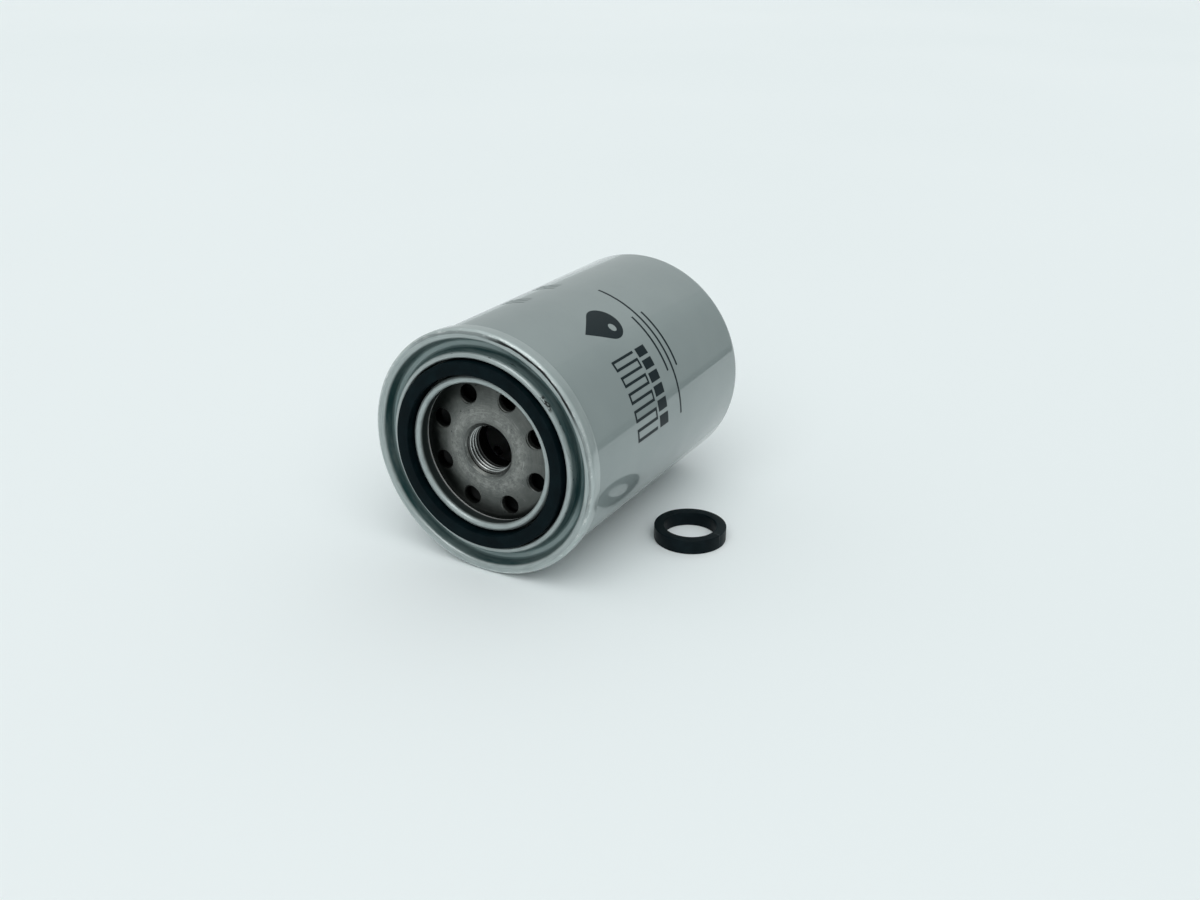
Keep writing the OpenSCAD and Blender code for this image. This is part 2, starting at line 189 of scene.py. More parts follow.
def turned(bm, outline, segments, place, closed):
    """Adds the surface turned from an outline. place puts each point where it lies, in mm."""
    turns = [2 * math.pi * k / segments for k in range(segments)]
    rings = []
    for r, z in outline:
        angles = turns if r > 1e-6 else turns[:1]
        rings.append([bm.verts.new(Vector(place(r * math.cos(a), r * math.sin(a), z)) * MM) for a in angles])
    pairs = list(zip(rings, rings[1:])) + ([(rings[-1], rings[0])] if closed else [])
    for low, high in pairs:
        for k in range(segments):
            n = (k + 1) % segments
            quad = [low[k % len(low)], low[n % len(low)], high[n % len(high)], high[k % len(high)]]
            corners = list(dict.fromkeys(quad))
            if len(corners) > 2:
                bm.faces.new(corners)


def lathe(name, outline, segments, body, closed=True, place=lying):
    """A piece turned from an outline, riding on a body."""
    bm = bmesh.new()
    turned(bm, outline, segments, place, closed)
    bmesh.ops.recalc_face_normals(bm, faces=bm.faces)
    return finished(name, bm, body)


def tube(bm, rings):
    """Joins rings of points into one closed solid."""
    for last, ring in zip(rings, rings[1:]):
        for k in range(len(ring)):
            n = (k + 1) % len(ring)
            bm.faces.new([last[k], last[n], ring[n], ring[k]])
    bm.faces.new(rings[0])
    bm.faces.new(rings[-1][::-1])
    bmesh.ops.recalc_face_normals(bm, faces=bm.faces)


def finished(name, bm, body, sharp=38):
    """Turns a bmesh into a smooth-shaded piece that rides on a body."""
    mesh = bpy.data.meshes.new(name)
    bm.to_mesh(mesh)
    bm.free()
    mesh.polygons.foreach_set("use_smooth", [True] * len(mesh.polygons))
    mesh.set_sharp_from_angle(angle=math.radians(sharp))
    piece = bpy.data.objects.new(name, mesh)
    bpy.context.scene.collection.objects.link(piece)
    if body:
        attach(piece, body)
    return piece


def wobble(piece, size, amount):
    """Moves the surface in and out a little by smooth noise, as on pressed and rolled metal."""
    for v in piece.data.vertices:
        outwards = Vector((v.co.x, 0, v.co.z))
        if outwards.length > NEAR_AXIS:
            v.co += outwards.normalized() * noise.noise(v.co / (size * MM)) * amount * MM
    piece.data.update()


# ---------------------------------------------------------------- materials

NOISE_SPAN = (0.3, 0.7)


class Shader:
    """A short way to build a material's nodes in object space, where one unit is a metre, or a world's."""

    def __init__(self, name, world=False):
        self.owner = (bpy.data.worlds if world else bpy.data.materials).new(name)
        self.owner.use_nodes = True
        self.tree = self.owner.node_tree
        self.coord = self.node("TexCoord").outputs["Generated" if world else "Object"]

    def node(self, kind, inputs=None, **settings):
        made = self.tree.nodes.new("ShaderNode" + kind)
        for key, value in settings.items():
            setattr(made, key, value)
        self.put(made, inputs or {})
        return made

    def put(self, node, inputs):
        """Sets a node's inputs, by name or number, to plain values or to other nodes' outputs."""
        for key, value in inputs.items():
            if isinstance(value, bpy.types.NodeSocket):
                self.tree.links.new(value, node.inputs[key])
            else:
                node.inputs[key].default_value = value

    def math(self, operation, a, b=0.0, c=0.0):
        return self.node("Math", {0: a, 1: b, 2: c}, operation=operation).outputs[0]

    def times(self, a, b):
        return self.math("MULTIPLY", a, b)

    def noise(self, size, detail=3.0, rough=0.55, vector=None):
        """Noise whose features are about size millimetres across."""
        inputs = {"Vector": vector or self.coord, "Scale": 1000 / size, "Detail": detail, "Roughness": rough}
        return self.node("TexNoise", inputs).outputs["Fac"]

    def ramp(self, value, low, high, to_low=0.0, to_high=1.0, smooth=True):
        inputs = {"Value": value, "From Min": low, "From Max": high, "To Min": to_low, "To Max": to_high}
        kind = "SMOOTHSTEP" if smooth else "LINEAR"
        return self.node("MapRange", inputs, interpolation_type=kind).outputs["Result"]

    def window(self, value, start, full, fade, end):
        """Rises from 0 to 1 between start and full, and falls back to 0 between fade and end."""
        return self.times(self.ramp(value, start, full), self.ramp(value, end, fade))

    def drift(self, value, low, high):
        """Drifts between two numbers with a noise value, which hardly ever leaves NOISE_SPAN."""
        return self.ramp(value, *NOISE_SPAN, low, high)

    def clouds(self, value, a, b):
        """Drifts between two colours with a noise value."""
        return self.mix(self.drift(value, 0.0, 1.0), a, b)

    def mix(self, factor, a, b):
        """Colour a where the factor is 0, colour b where it is 1."""
        colour_a, colour_b, colour_out = 6, 7, 2
        mixer = self.node("Mix", {0: factor, colour_a: a, colour_b: b}, data_type="RGBA")
        return mixer.outputs[colour_out]

    def polar(self):
        """Radius from the filter's axis and distance behind the first thread, both in mm, and the angle."""
        xyz = self.node("SeparateXYZ", {0: self.coord})
        x, y, z = xyz.outputs
        squares = self.math("ADD", self.times(x, x), self.times(z, z))
        radius = self.times(self.math("SQRT", squares), 1000.0)
        return radius, self.times(y, 1000.0), self.math("ARCTAN2", z, x)

    def towards(self, x_share, z_share, radius):
        """Cosine of the angle round the axis from the direction (x_share, z_share)."""
        xyz = self.node("SeparateXYZ", {0: self.coord})
        x, _, z = xyz.outputs
        reach = self.math("ADD", self.times(x, x_share), self.times(z, z_share))
        return self.math("DIVIDE", self.times(reach, 1000.0), radius)

    def around(self, across, along):
        """Coordinates for marks that run round the axis, stretched across it and along their way round."""
        radius, y, angle = self.polar()
        level = self.times(self.math("MULTIPLY_ADD", y, 0.7, radius), MM / across)
        ways = [self.times(self.math(turn, angle), 30 * MM / along) for turn in ("COSINE", "SINE")]
        return self.node("CombineXYZ", {0: ways[0], 1: ways[1], 2: level}).outputs[0]

    def bump(self, height, strength, distance, normal=None):
        inputs = {"Height": height, "Strength": strength, "Distance": distance * MM}
        if normal is not None:
            inputs["Normal"] = normal
        return self.node("Bump", inputs).outputs["Normal"]

    def finish(self, **inputs):
        """Sets the surface's inputs, named with underscores for spaces."""
        named = {key.replace("_", " "): value for key, value in inputs.items()}
        self.put(self.tree.nodes["Principled BSDF"], named)
        return self.owner


def rgb(r, g, b):
    return (r, g, b, 1.0)


def grey_paint():
    s = Shader("grey_paint")
    blotch = s.noise(38, 3)
    fleck = s.noise(0.35, 2)
    colour = s.clouds(blotch, rgb(0.245, 0.290, 0.289), rgb(0.265, 0.312, 0.310))
    colour = s.mix(s.ramp(fleck, 0.62, 0.8, 0.0, 0.10), colour, rgb(0.42, 0.46, 0.46))
    dust = s.ramp(s.noise(0.8, 2, 0.7), 0.70, 0.78)
    colour = s.mix(s.times(dust, 0.15), colour, rgb(0.5, 0.53, 0.53))
    peel = s.noise(1.8, 2, 0.4)
    wave = s.noise(16, 1)
    normal = s.bump(wave, 0.10, 0.06, s.bump(peel, 0.03, 0.03))
    rough = s.drift(s.noise(22, 4), 0.40, 0.48)
    flake = {"Metallic": 0.32, "Specular_IOR_Level": 0.1, "Specular_Tint": rgb(0.5, 0.5, 0.5)}
    coat = {"Coat_Weight": 0.9, "Coat_Roughness": 0.035, "Coat_IOR": 1.6, "Coat_Normal": normal}
    return s.finish(Base_Color=colour, Roughness=rough, Normal=normal, **flake, **coat)


def lid_paint():
    s = Shader("lid_paint")
    radius, y, angle = s.polar()
    blotch = s.noise(14, 3)
    colour = s.clouds(blotch, rgb(0.320, 0.370, 0.367), rgb(0.360, 0.412, 0.408))
    # Rolling leaves streaks that run round the lid, fainter on the seam's outer wall.
    face = s.ramp(radius, 46.4, 45.8, 0.3, 1.0)
    streak = s.ramp(s.noise(0.5, 3, 0.6, s.around(0.8, 10)), 0.42, 0.66, 0.0, 0.5)
    colour = s.mix(s.times(streak, face), colour, rgb(0.20, 0.245, 0.243))
    speckle = s.ramp(s.noise(0.45, 3, 0.7), 0.62, 0.72, 0.0, 0.35)
    colour = s.mix(speckle, colour, rgb(0.42, 0.47, 0.465))
    # Painted shade: the channel between the bead and the seam is painted dark greenish, with a lighter
    # painted band of light on its floor except towards the upper right.
    channel_shade = s.times(s.window(radius, 37.65, 38.1, 43.4, 43.9), s.ramp(y, -5.7, -4.6))
    patchy = s.drift(s.noise(2, 4, 0.6, s.around(1, 8)), 0.65, 0.98)
    toward_shaded_side = s.math("COSINE", s.math("SUBTRACT", angle, math.radians(30)))
    floor = s.times(s.ramp(y, -2.8, -1.8), s.ramp(toward_shaded_side, 0.78, 0.50))
    channel_shade_colour = s.mix(floor, rgb(0.009, 0.050, 0.052), rgb(0.15, 0.22, 0.22))
    colour = s.mix(s.times(channel_shade, patchy), colour, channel_shade_colour)
    # Painted shade: the groove behind the gasket and the lip's inner wall are painted near black.
    groove = s.times(s.window(radius, 29.2, 29.5, 35.8, 36.1), s.ramp(y, -5.7, -4.6))
    lip_wall_shade = s.times(s.ramp(radius, 27.7, 26.9), s.ramp(y, -5.0, -3.6))
    colour = s.mix(s.math("MAXIMUM", groove, lip_wall_shade), colour, rgb(0.030, 0.042, 0.041))
    # The seam's edge is painted pale, partly as rubbed wear and partly as a painted highlight. Painted glints
    # stand for its bright specks, and small chips on the bead show dark bare steel.
    chip_and_glint_noise = s.noise(1.1, 4, 0.7, s.around(1.0, 2.4))
    rim_rub_and_highlight = s.times(s.ramp(radius, 44.9, 45.5), s.ramp(y, -4.6, -5.4))
    colour = s.mix(s.times(rim_rub_and_highlight, 0.4), colour, rgb(0.50, 0.56, 0.555))
    rim_glint = s.times(s.times(rim_rub_and_highlight, s.ramp(chip_and_glint_noise, 0.54, 0.60)), face)
    colour = s.mix(s.times(rim_glint, 0.8), colour, rgb(0.62, 0.66, 0.65))
    on_bead = s.window(radius, 37.3, 37.7, 38.5, 38.9)
    bead_chip = s.times(on_bead, s.ramp(chip_and_glint_noise, 0.62, 0.65))
    colour = s.mix(s.times(bead_chip, 0.9), colour, rgb(0.03, 0.04, 0.04))
    # The lip's cut inner edge is bare metal, painted bright as a highlight.
    foot = s.times(s.ramp(radius, 28.0, 27.6), s.ramp(y, -0.35, -0.1))
    colour = s.mix(foot, colour, rgb(0.72, 0.75, 0.74))
    # Dark nicks in the bead's outer edge, all in one place at the upper right.
    nicked = s.ramp(s.towards(0.74, 0.67, radius), 0.993, 0.997)
    nick = s.times(nicked, s.window(radius, 37.2, 37.4, 37.9, 38.3))
    nick = s.times(nick, s.ramp(s.noise(0.9, 3, 0.6, s.around(0.7, 1.6)), 0.46, 0.52))
    colour = s.mix(nick, colour, rgb(0.006, 0.008, 0.008))
    # A painted dark reflection line along the seam's crest, broken and strongest towards the upper right.
    high = s.towards(0.57, 0.82, radius)
    strength = s.math("MAXIMUM", s.ramp(high, 0.80, 0.95), s.ramp(high, 0.20, 0.45, 0.0, 0.4))
    wander = s.drift(s.noise(1.2, 3, 0.6, s.around(2, 9)), -0.3, 0.3)
    crest = s.window(s.math("ADD", radius, wander), 44.5, 44.8, 45.4, 45.8)
    broken = s.ramp(s.noise(1.2, 4, 0.7, s.around(0.6, 12)), 0.30, 0.40)
    crest = s.times(s.times(crest, broken), strength)
    colour = s.mix(s.times(crest, s.ramp(y, -5.3, -5.5)), colour, rgb(0.002, 0.003, 0.003))
    # The clear gloss is missing in the painted shade and on the painted dark line.
    hidden = s.times(channel_shade, s.math("SUBTRACT", 1.0, floor))
    dull = s.math("MAXIMUM", s.times(s.math("MAXIMUM", hidden, groove), 0.8), crest)
    gloss = s.math("SUBTRACT", 1.0, dull)
    peel = s.noise(1.4, 2, 0.45)
    wave = s.noise(4, 1, 0.5, s.around(1, 6))
    normal = s.bump(wave, 0.25, 0.10, s.bump(peel, 0.10, 0.04))
    rough = s.drift(s.noise(9, 4), 0.36, 0.46)
    coat = {"Coat_Weight": gloss, "Coat_Roughness": 0.07, "Coat_Normal": normal}
    return s.finish(Base_Color=colour, Metallic=0.5, Roughness=rough, Normal=normal, **coat)


def bare_steel():
    s = Shader("bare_steel")
    radius, y, _ = s.polar()
    cloud = s.noise(7, 5, 0.6)
    turning = s.noise(0.5, 3, 0.6, s.around(0.28, 22))
    colour = s.clouds(cloud, rgb(0.118, 0.124, 0.118), rgb(0.168, 0.174, 0.164))
    colour = s.mix(s.ramp(turning, 0.35, 0.7, 0.0, 0.4), colour, rgb(0.07, 0.078, 0.075))
    # The face round the hub is rubbed bright, with fine rings and a few cross scratches.
    hub_ring = s.window(radius, 10.0, 13.2, 13.8, 18.5)
    rubbed = s.times(hub_ring, s.ramp(s.noise(1.6, 5, 0.75), 0.38, 0.66, 0.15, 1.0))
    colour = s.mix(s.times(rubbed, 0.6), colour, rgb(0.36, 0.365, 0.345))
    ring = s.ramp(s.noise(0.5, 2, 0.5, s.around(0.22, 16)), 0.60, 0.68, 0.0, 0.55)
    colour = s.mix(s.times(ring, s.ramp(radius, 20.0, 15.0)), colour, rgb(0.42, 0.43, 0.41))
    scratch = s.noise(0.9, 2, 0.5, s.around(3.5, 0.7))
    colour = s.mix(s.ramp(scratch, 0.66, 0.74, 0.0, 0.3), colour, rgb(0.38, 0.39, 0.375))
    pit = s.ramp(s.noise(0.9, 1, 0.5), 0.74, 0.80)
    colour = s.mix(pit, colour, rgb(0.02, 0.02, 0.018))
    # Painted shade: the plate is painted near black on its left side, with a noisy edge, and under the lip.
    side = s.ramp(s.towards(-1.0, 0.0, radius), -0.75, 0.9)
    shade_edge_noise = s.ramp(s.noise(5, 4, 0.6), 0.25, 0.75, -1.6, 1.6, smooth=False)
    left_shade = s.ramp(s.math("ADD", radius, shade_edge_noise), 15.5, 24.5)
    left_shade = s.times(left_shade, s.math("MULTIPLY_ADD", side, 0.75, 0.25))
    lip_edge_shade = s.ramp(radius, 24.0, 26.5)
    colour = s.mix(s.math("MAXIMUM", left_shade, lip_edge_shade), colour, rgb(0.006, 0.008, 0.007))
    # Painted shade: the punched and bored walls are painted near black further in.
    hole_shade = s.times(s.ramp(y, 1.3, 2.6), s.ramp(radius, 11.0, 12.0))
    bore = s.times(s.ramp(y, 0.3, 5.0), s.ramp(radius, 11.0, 10.6))
    colour = s.mix(s.math("MAXIMUM", hole_shade, bore), colour, rgb(0.004, 0.004, 0.004))
    normal = s.bump(turning, 0.35, 0.03, s.bump(s.noise(2.2, 3), 0.2, 0.10))
    rough = s.drift(cloud, 0.30, 0.44)
    return s.finish(Base_Color=colour, Metallic=0.9, Roughness=rough, Normal=normal)


def thread_steel():
    """Painted highlight on the thread's crest near the mouth, and painted shade that turns the thread black
    further in.
    """
    s = Shader("thread_steel")
    radius, y, _ = s.polar()
    streak = s.noise(0.5, 3, 0.6, s.around(0.3, 6))
    # Painted highlight and shade: the crest is painted bright and the flanks dark.
    crest = s.ramp(radius, THREAD_R - 0.45, THREAD_TIP_R + 0.08)
    colour = s.clouds(streak, rgb(0.05, 0.052, 0.05), rgb(0.09, 0.093, 0.09))
    colour = s.mix(crest, colour, rgb(0.55, 0.57, 0.56))
    # Painted shade: the thread is painted black further into the bore.
    colour = s.mix(s.ramp(y, 2.5, 7.0), colour, rgb(0.001, 0.001, 0.001))
    oily = s.ramp(y, 4.0, 7.5, 0.2, 0.9)
    rough = s.math("MAXIMUM", s.drift(s.noise(1.5, 3), 0.22, 0.36), oily)
    return s.finish(Base_Color=colour, Metallic=0.9, Roughness=rough, Normal=s.bump(streak, 0.2, 0.02))


def rubber_grain(s):
    return s.bump(s.noise(0.25, 3, 0.6), 0.25, 0.02, s.bump(s.noise(3.5, 2), 0.2, 0.06))


def rubber(name, dark, light, gloss=0.18):
    s = Shader(name)
    bloom = s.noise(6, 4, 0.6)
    colour = s.mix(s.ramp(bloom, 0.35, 0.7), rgb(*dark), rgb(*light))
    speck = s.ramp(s.noise(0.5, 2, 0.8), 0.72, 0.8)
    colour = s.mix(s.times(speck, 0.12), colour, rgb(0.12, 0.14, 0.15))
    rough = s.drift(bloom, 0.42, 0.58)
    return s.finish(Base_Color=colour, Roughness=rough, Normal=rubber_grain(s), Specular_IOR_Level=gloss)


def seal_rubber():
    """The stud seal's rubber, with the moulded seam that runs down its side."""
    s = Shader("seal_rubber")
    xyz = s.node("SeparateXYZ", {0: s.coord})
    x, y = (s.math("SUBTRACT", xyz.outputs[i], at * MM) for i, at in enumerate((SEAL_X, SEAL_Y)))
    degrees = s.times(s.math("ARCTAN2", y, x), 180 / math.pi)
    bloom = s.noise(5, 4, 0.6)
    colour = s.mix(s.ramp(bloom, 0.35, 0.7), rgb(0.0008, 0.0042, 0.0058), rgb(0.0030, 0.0085, 0.0110))
    # Painted light: the side beyond the moulded seam is painted lighter, where light falls on it.
    lit_side = s.window(degrees, -9.5, -8.5, 10, 60)
    colour = s.mix(s.times(lit_side, 0.5), colour, rgb(0.010, 0.017, 0.020))
    line = s.times(s.window(degrees, -10.6, -9.8, -9.0, -8.2), s.ramp(s.noise(1.2, 3), 0.3, 0.6))
    colour = s.mix(line, colour, rgb(0.035, 0.045, 0.05))
    rough = s.drift(bloom, 0.34, 0.50)
    return s.finish(Base_Color=colour, Roughness=rough, Normal=rubber_grain(s), Specular_IOR_Level=0.09)


def sheet_steel(name, dark, light, roughness=0.3):
    s = Shader(name)
    grain = s.noise(0.5, 3, 0.6, s.around(6, 0.8))
    colour = s.clouds(s.noise(12, 4), rgb(*dark), rgb(*light))
    rough = s.drift(grain, roughness, roughness + 0.15)
    return s.finish(Base_Color=colour, Metallic=1.0, Roughness=rough, Normal=s.bump(grain, 0.15, 0.02))


def filter_paper():
    s = Shader("filter_paper")
    fibre = s.noise(0.6, 6, 0.75)
    colour = s.clouds(s.noise(9, 4), rgb(0.34, 0.25, 0.11), rgb(0.42, 0.32, 0.15))
    colour = s.mix(s.ramp(fibre, 0.5, 0.75, 0.0, 0.4), colour, rgb(0.50, 0.41, 0.23))
    # Painted shade: the paper is painted near black towards its inner folds, deep in the bore.
    radius, _, _ = s.polar()
    colour = s.mix(s.ramp(radius, 26.0, 20.0), colour, rgb(0.006, 0.005, 0.004))
    finish = {"Normal": s.bump(fibre, 0.5, 0.06), "Specular_IOR_Level": 0.2}
    return s.finish(Base_Color=colour, Roughness=0.9, **finish)


def plastic(name, dark, light, roughness, bump=0.2):
    s = Shader(name)
    colour = s.clouds(s.noise(5, 4), rgb(*dark), rgb(*light))
    rough = s.drift(s.noise(2, 3), roughness, roughness + 0.1)
    return s.finish(Base_Color=colour, Roughness=rough, Normal=s.bump(s.noise(0.8, 3), bump, 0.04))


def print_ink():
    s = Shader("print_ink")
    screen = s.noise(0.4, 3, 0.7)
    colour = s.mix(s.ramp(screen, 0.4, 0.75), rgb(0.003, 0.010, 0.013), rgb(0.012, 0.022, 0.026))
    # The two batch marks on top are almost worn away.
    _, _, angle = s.polar()
    colour = s.mix(s.ramp(angle, 1.50, 1.56), colour, rgb(0.15, 0.18, 0.18))
    rough = s.drift(screen, 0.3, 0.45)
    finish = {"Normal": s.bump(screen, 0.1, 0.01), "Specular_IOR_Level": 0.15}
    return s.finish(Base_Color=colour, Roughness=rough, **finish)


MATERIALS = {
    "grey_paint": grey_paint(),
    "lid_paint": lid_paint(),
    "bare_steel": bare_steel(),
    "print_ink": print_ink(),
    "nitrile_rubber": rubber("nitrile_rubber", (0.0008, 0.0042, 0.0058), (0.0022, 0.0078, 0.0100), 0.05),
    "seal_rubber": seal_rubber(),
    "valve_rubber": rubber("valve_rubber", (0.003, 0.004, 0.004), (0.006, 0.007, 0.007), 0.15),
    "tinned_steel": sheet_steel("tinned_steel", (0.52, 0.53, 0.54), (0.64, 0.65, 0.66)),
    "spring_steel": sheet_steel("spring_steel", (0.30, 0.30, 0.31), (0.42, 0.42, 0.43), 0.22),
    "filter_paper": filter_paper(),
    "adhesive": plastic("adhesive", (0.10, 0.105, 0.11), (0.15, 0.155, 0.16), 0.45, 0.5),
    "nylon": plastic("nylon", (0.020, 0.020, 0.021), (0.030, 0.030, 0.031), 0.35),
}


def wear(piece, slot, material=None):
    """Gives a piece its material, by default the one for the record's slot."""
    piece.data.materials.clear()
    piece.data.materials.append(material or MATERIALS[slot])


def dress_cad_nodes():
    """Gives every CAD node its slot's material."""
    for part in frame["record"]["subparts"]:
        node = frame["nodes"][part["node"]]
        for slot in node.material_slots:
            slot.material = MATERIALS[part["material_slot"]]


# ---------------------------------------------------------------- pieces


def make_can():
    floor = END_Z + CAN_WALL
    inner_r = CAN_R - CAN_WALL
    inside = rounded(
        [
            (0, floor + END_PANEL_DEPTH),
            (END_PANEL_R, floor + END_PANEL_DEPTH, 1.6),
            (END_PANEL_R + 3, floor, 2.2),
            (inner_r, floor, END_CORNER_R - CAN_WALL),
            (inner_r, SHOULDER_Z - CAN_WALL, 0.25),
            (NECK_IN_R, SHOULDER_Z - CAN_WALL, 0.05),
            (NECK_IN_R, BODY_HOOK_Z, 0.55),
            (BODY_HOOK_R, BODY_HOOK_Z, 0.55),
            (BODY_HOOK_R, SEAM_Z + 1.4),
        ]
    )
    outline = sheet(inside, CAN_WALL)
    # The outline's two ends lie on the axis, so the turned solid closes there by itself.
    outline[-1] = (0, outline[-1][1])
    piece = lathe("can_shell", outline, 256, "housing", closed=False)
    wobble(piece, size=60, amount=0.05)
    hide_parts("can")
    wear(piece, "grey_paint")


def lid_path():
    """The lid's visible face, from the lip's foot over the groove, bead and channel into the rolled seam."""
    slope, fillet = 28, 0.5
    bend = (LIP_OUT_R - LIP_IN_R) / 2
    seam_bend = (RIM_R - COVER_HOOK_R) / 2
    return (
        [(LIP_IN_R + 0.56, -0.5)]
        + arc(LIP_IN_R + bend, LIP_TOP_Z - bend, bend, 180, 0, 20)
        + arc(LIP_OUT_R + fillet, GROOVE_Z + fillet, fillet, 180, 270, 6)
        + arc(GROOVE_OUT_R - fillet, GROOVE_Z + fillet, fillet, 270, 360, 6)
        + arc(GROOVE_OUT_R + 0.65, RIM_Z - 0.5, 0.65, 180, 90)
        + arc(GROOVE_OUT_R + 0.75, RIM_Z - 1.15, 1.3, 90, slope)
        + arc(CHUCK_R - 2.8, GROOVE_Z + 0.9, 0.9, 180 + slope, 270, 9)
        + arc(CHUCK_R - 1.9, GROOVE_Z + 0.9, 0.9, 270, 360 - slope, 9)
        + arc(CHUCK_R + 1.2, RIM_Z - 1.2, 1.2, 180 - slope, 90)
        + arc(RIM_R - 1.6, RIM_Z - 1.6, 1.6, 90, 0)
        + arc(RIM_R - seam_bend, SEAM_Z + seam_bend, seam_bend, 0, -180, 20)
        + [(COVER_HOOK_R, COVER_HOOK_Z)]
    )


def make_lid():
    piece = lathe("seam_lid", sheet(lid_path(), LID_WALL), 256, "housing")
    wobble(piece, size=9, amount=0.03)
    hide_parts("seaming_lid")
    wear(piece, "lid_paint")


def cut(piece, cutter):
    """Takes the cutter's solid out of the piece and removes the cutter."""
    tool = piece.modifiers.new("cut", "BOOLEAN")
    tool.object, tool.operation, tool.solver = cutter, "DIFFERENCE", "EXACT"
    graph = bpy.context.evaluated_depsgraph_get()
    mesh = bpy.data.meshes.new_from_object(piece.evaluated_get(graph))
    piece.modifiers.clear()
    piece.data = mesh
    bpy.data.objects.remove(cutter)


def hole_cutter():
    """The punched holes, each with its front edge drawn in a little."""
    face, foot, edge = -0.05, -6.5, 0.55
    outline = [(0, foot), (INLET_R, foot), (INLET_R, face - edge)]
    outline += arc(INLET_R + edge, face - edge, edge, 180, 100, 6)
    outline += [(INLET_R + 0.5, face + 1.4), (0, face + 1.4)]
    bm = bmesh.new()
    for i in range(INLET_COUNT):
        middle = math.radians((i + 0.5) * 360 / INLET_COUNT)
        cx, cz = INLET_CIRCLE_R * math.cos(middle), INLET_CIRCLE_R * math.sin(middle)
        turned(bm, outline, 40, lambda x, y, z: (cx + x, -z, cz + y), closed=False)
    bmesh.ops.recalc_face_normals(bm, faces=bm.faces)
    return finished("hole_cutter", bm, None)


def make_base_plate():
    back = BEAD_Z - PLATE_T + 0.15
    outline = rounded_loop(
        [
            (THREAD_R, -THREAD_LEN),
            (THREAD_R, 0),
            (THREAD_R + HUB_Z, HUB_Z, 0.15),
            (HUB_R, HUB_Z, 2.5),
            (LIP_IN_R - 0.6, BEAD_Z + 0.15, 1.2),
            (LIP_OUT_R - 0.8, BEAD_Z, 0.5),
            (LIP_OUT_R + 0.4, LAND_Z, 0.5),
            (PLATE_R, LAND_Z, 0.3),
            (PLATE_R, LAND_Z - PLATE_T, 0.3),
            (LIP_OUT_R + 1.4, LAND_Z - PLATE_T, 0.6),
            (LIP_OUT_R, back, 0.6),
            (LIP_IN_R - 1.1, back, 1.2),
            (BOSS_R, HUB_Z - PLATE_T - 0.3, 2.2),
            (BOSS_R, -THREAD_LEN, 0.3),
        ]
    )
    piece = lathe("threaded_base", outline, 192, "housing")
    cut(piece, hole_cutter())
    piece.data.set_sharp_from_angle(angle=math.radians(30))
    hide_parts("base_plate")
    wear(piece, "bare_steel")


def make_thread():
    """The stud thread's ridge, wound from the lead-in down the bore, with both ends run out."""
    per_turn = 64
    first, last = -0.45, -THREAD_LEN + 0.3
    steps = int((first - last) / THREAD_PITCH * per_turn)
    half, crest = THREAD_PITCH * 0.44, THREAD_PITCH * 0.07
    root_r, run_out = THREAD_R + 0.03, per_turn / 3
    bm = bmesh.new()
    rings = []
    for k in range(steps + 1):
        a = 2 * math.pi * k / per_turn
        z = first - THREAD_PITCH * k / per_turn
        fade = min(1.0, k / run_out, (steps - k) / run_out)
        tip_r = root_r - max(0.02, (root_r - THREAD_TIP_R) * fade)
        section = [(root_r, z + half), (tip_r, z + crest), (tip_r, z - crest), (root_r, z - half)]
        points = [Vector(lying(r * math.cos(a), r * math.sin(a), level)) for r, level in section]
        rings.append([bm.verts.new(point * MM) for point in points])
    tube(bm, rings)
    piece = finished("stud_thread", bm, "housing", sharp=25)
    wear(piece, "bare_steel", thread_steel())


def make_gasket():
    outline = rounded_loop(
        [
            (GASKET_IN_R, GROOVE_Z + 0.05, 0.3),
            (GASKET_OUT_R, GROOVE_Z + 0.05, 0.3),
            (GASKET_OUT_R, GASKET_TOP_Z, 0.35),
            (GASKET_IN_R, GASKET_TOP_Z, 0.35),
        ]
    )
    piece = lathe("face_gasket", outline, 192, "housing")
    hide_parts("outer_gasket")
    wear(piece, "nitrile_rubber")


def make_stud_seal():
    mould_line, line_depth, line_width = math.radians(-9), 0.09, 0.012
    outline = rounded_loop(
        [
            (SEAL_IN_R, 0, 0.3),
            (SEAL_OUT_R, 0, 0.28),
            (SEAL_OUT_R, SEAL_H, 0.28),
            (SEAL_IN_R, SEAL_H, 0.35),
        ]
    )
    centre = Vector((SEAL_X, SEAL_Y, FLOOR_Z))

    def standing(x, y, z):
        return Vector((x, y, z)) + centre

    piece = lathe("loose_stud_seal", outline, 360, "spare_seal", place=standing)
    for v in piece.data.vertices:
        d = v.co / MM - centre
        r, a = math.hypot(d.x, d.y), math.atan2(d.y, d.x)
        if r > SEAL_OUT_R - 0.4:
            groove = line_depth * math.exp(-(((a - mould_line) / line_width) ** 2))
            v.co.x -= math.cos(a) * groove * MM
            v.co.y -= math.sin(a) * groove * MM
    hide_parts("stud_seal")
    wear(piece, "nitrile_rubber", MATERIALS["seal_rubber"])


def make_spring(name, node, slot, body, coil_r, wire_r, low, high, turns):
    """A wire wound between two levels, its first and last turns closed."""
    sides, per_turn = 14, 48
    rise, closed_rise = high - low - 2 * wire_r, 2 * wire_r + 0.05
    bm = bmesh.new()
    rings = []
    for i in range(int(turns * per_turn) + 1):
        t, a = i / per_turn, 2 * math.pi * i / per_turn
        climb = closed_rise + (rise - 2 * closed_rise) * (t - 1) / (turns - 2)
        if t < 1:
            climb = closed_rise * t
        elif t > turns - 1:
            climb = rise - closed_rise * (turns - t)
        ring = []
        for k in range(sides):
            b = 2 * math.pi * k / sides
            r, z = coil_r + wire_r * math.cos(b), low + wire_r + climb + wire_r * math.sin(b)
            ring.append(bm.verts.new(Vector(lying(r * math.cos(a), r * math.sin(a), z)) * MM))
        rings.append(ring)
    tube(bm, rings)
    piece = finished(name, bm, body)
    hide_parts(node)
    wear(piece, slot)
    return piece


